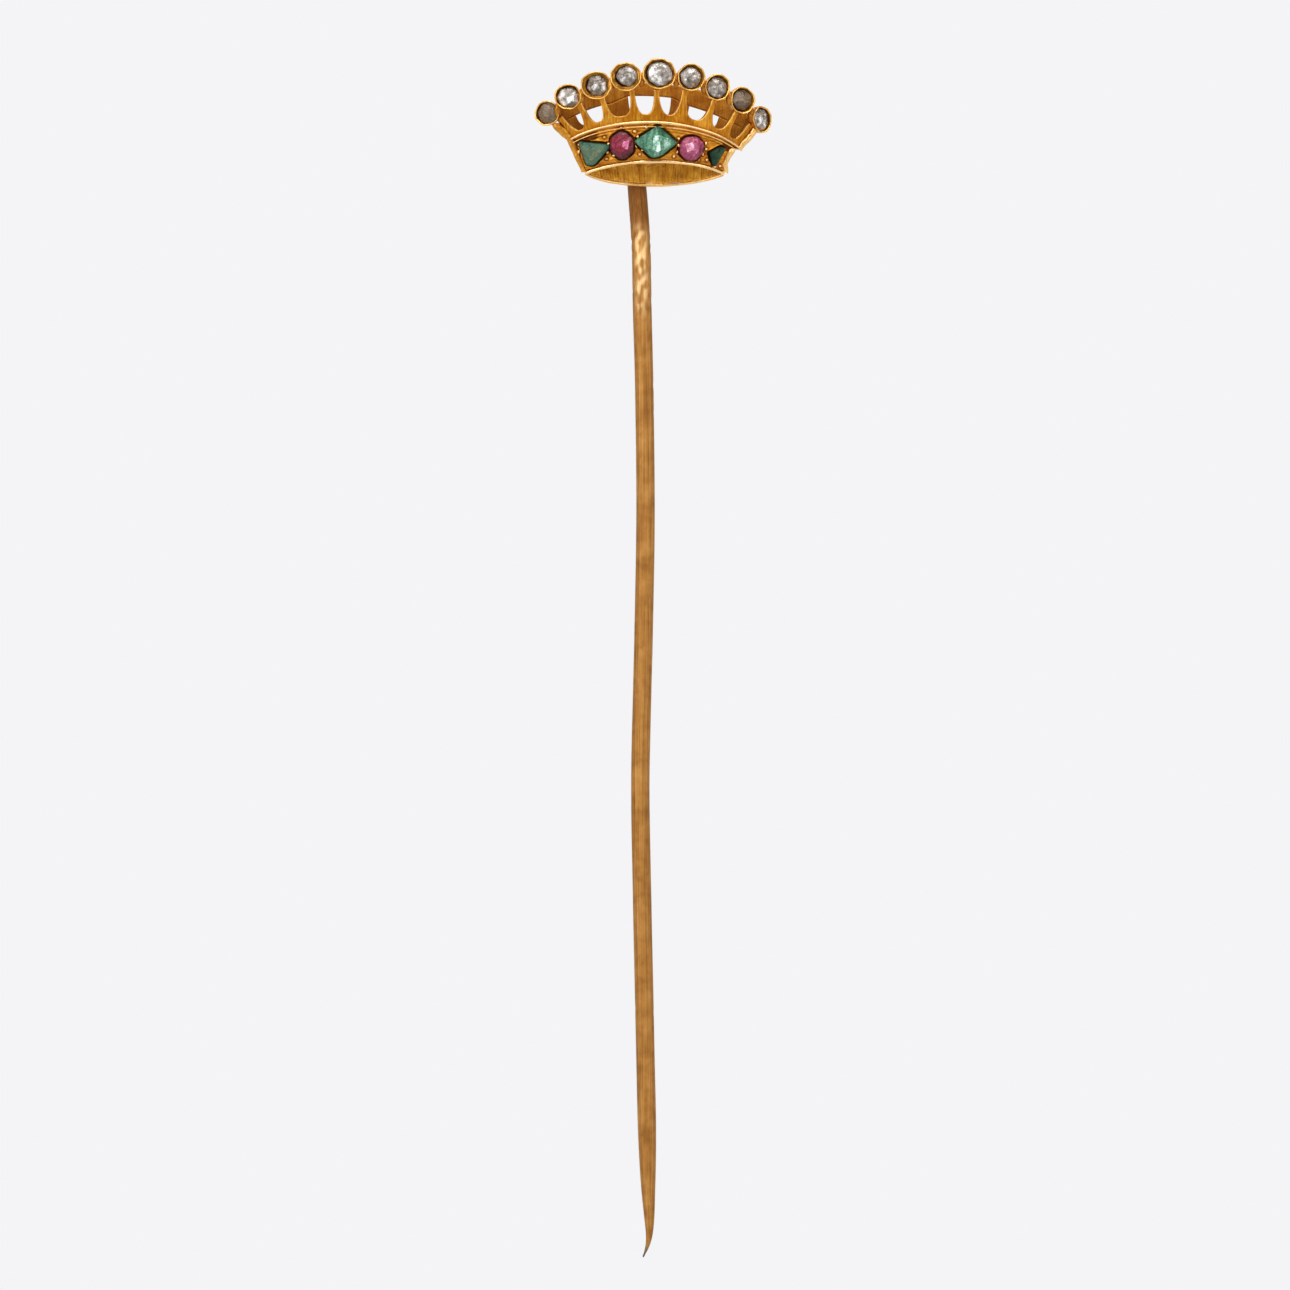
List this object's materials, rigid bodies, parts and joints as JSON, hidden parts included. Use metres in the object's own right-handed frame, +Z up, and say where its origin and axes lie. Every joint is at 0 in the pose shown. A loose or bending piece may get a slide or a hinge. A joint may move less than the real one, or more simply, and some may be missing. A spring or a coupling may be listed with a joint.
{
  "type": "hat pin",
  "caption": "Gold stick pin with a hollow flattened coronet head: a row of stones in collets on a pierced gallery over a band set with coloured stones.",
  "frame": {"origin": "middle of the straight round grip near the point, on its axis", "axes": "+Z up the pin towards the head, -Y out of the front of the head, +X to the right as the head is seen from the front"},
  "size_m": [0.0131, 0.0046, 0.065],
  "materials": {
    "stem_gold": "drawn satin gold, worn",
    "solder_gold": "dull solder",
    "rim_gold": "bright worn edge",
    "head_gold": "satin gold",
    "inner_gold": "filed and darkened gold",
    "collet_gold": "rubbed satin gold",
    "diamond": "rose-cut, greyish brown",
    "emerald": "polished, included",
    "ruby": "polished",
    "pink_ruby": "polished"
  },
  "bodies": {
    "root": {"stem": "stem_gold", "stem_solder": "solder_gold", "lower_rim": "rim_gold", "front_band": "head_gold", "upper_rim": "rim_gold", "front_gallery": "head_gold", "back_wall": "inner_gold", "back_rail": "inner_gold", "end_post_left": "rim_gold", "end_post_right": "rim_gold", "collet_1": "collet_gold", "collet_2": "collet_gold", "collet_3": "collet_gold", "collet_4": "collet_gold", "collet_5": "collet_gold", "collet_6": "collet_gold", "collet_7": "collet_gold", "collet_8": "collet_gold", "collet_9": "collet_gold", "diamond_1": "diamond", "diamond_2": "diamond", "diamond_3": "diamond", "diamond_4": "diamond", "diamond_5": "diamond", "diamond_6": "diamond", "diamond_7": "diamond", "diamond_8": "diamond", "diamond_9": "diamond", "emerald_left": "emerald", "ruby_left": "ruby", "emerald_middle": "emerald", "ruby_right": "pink_ruby", "emerald_right": "emerald", "band_grains": "rim_gold"}
  },
  "joints": []
}
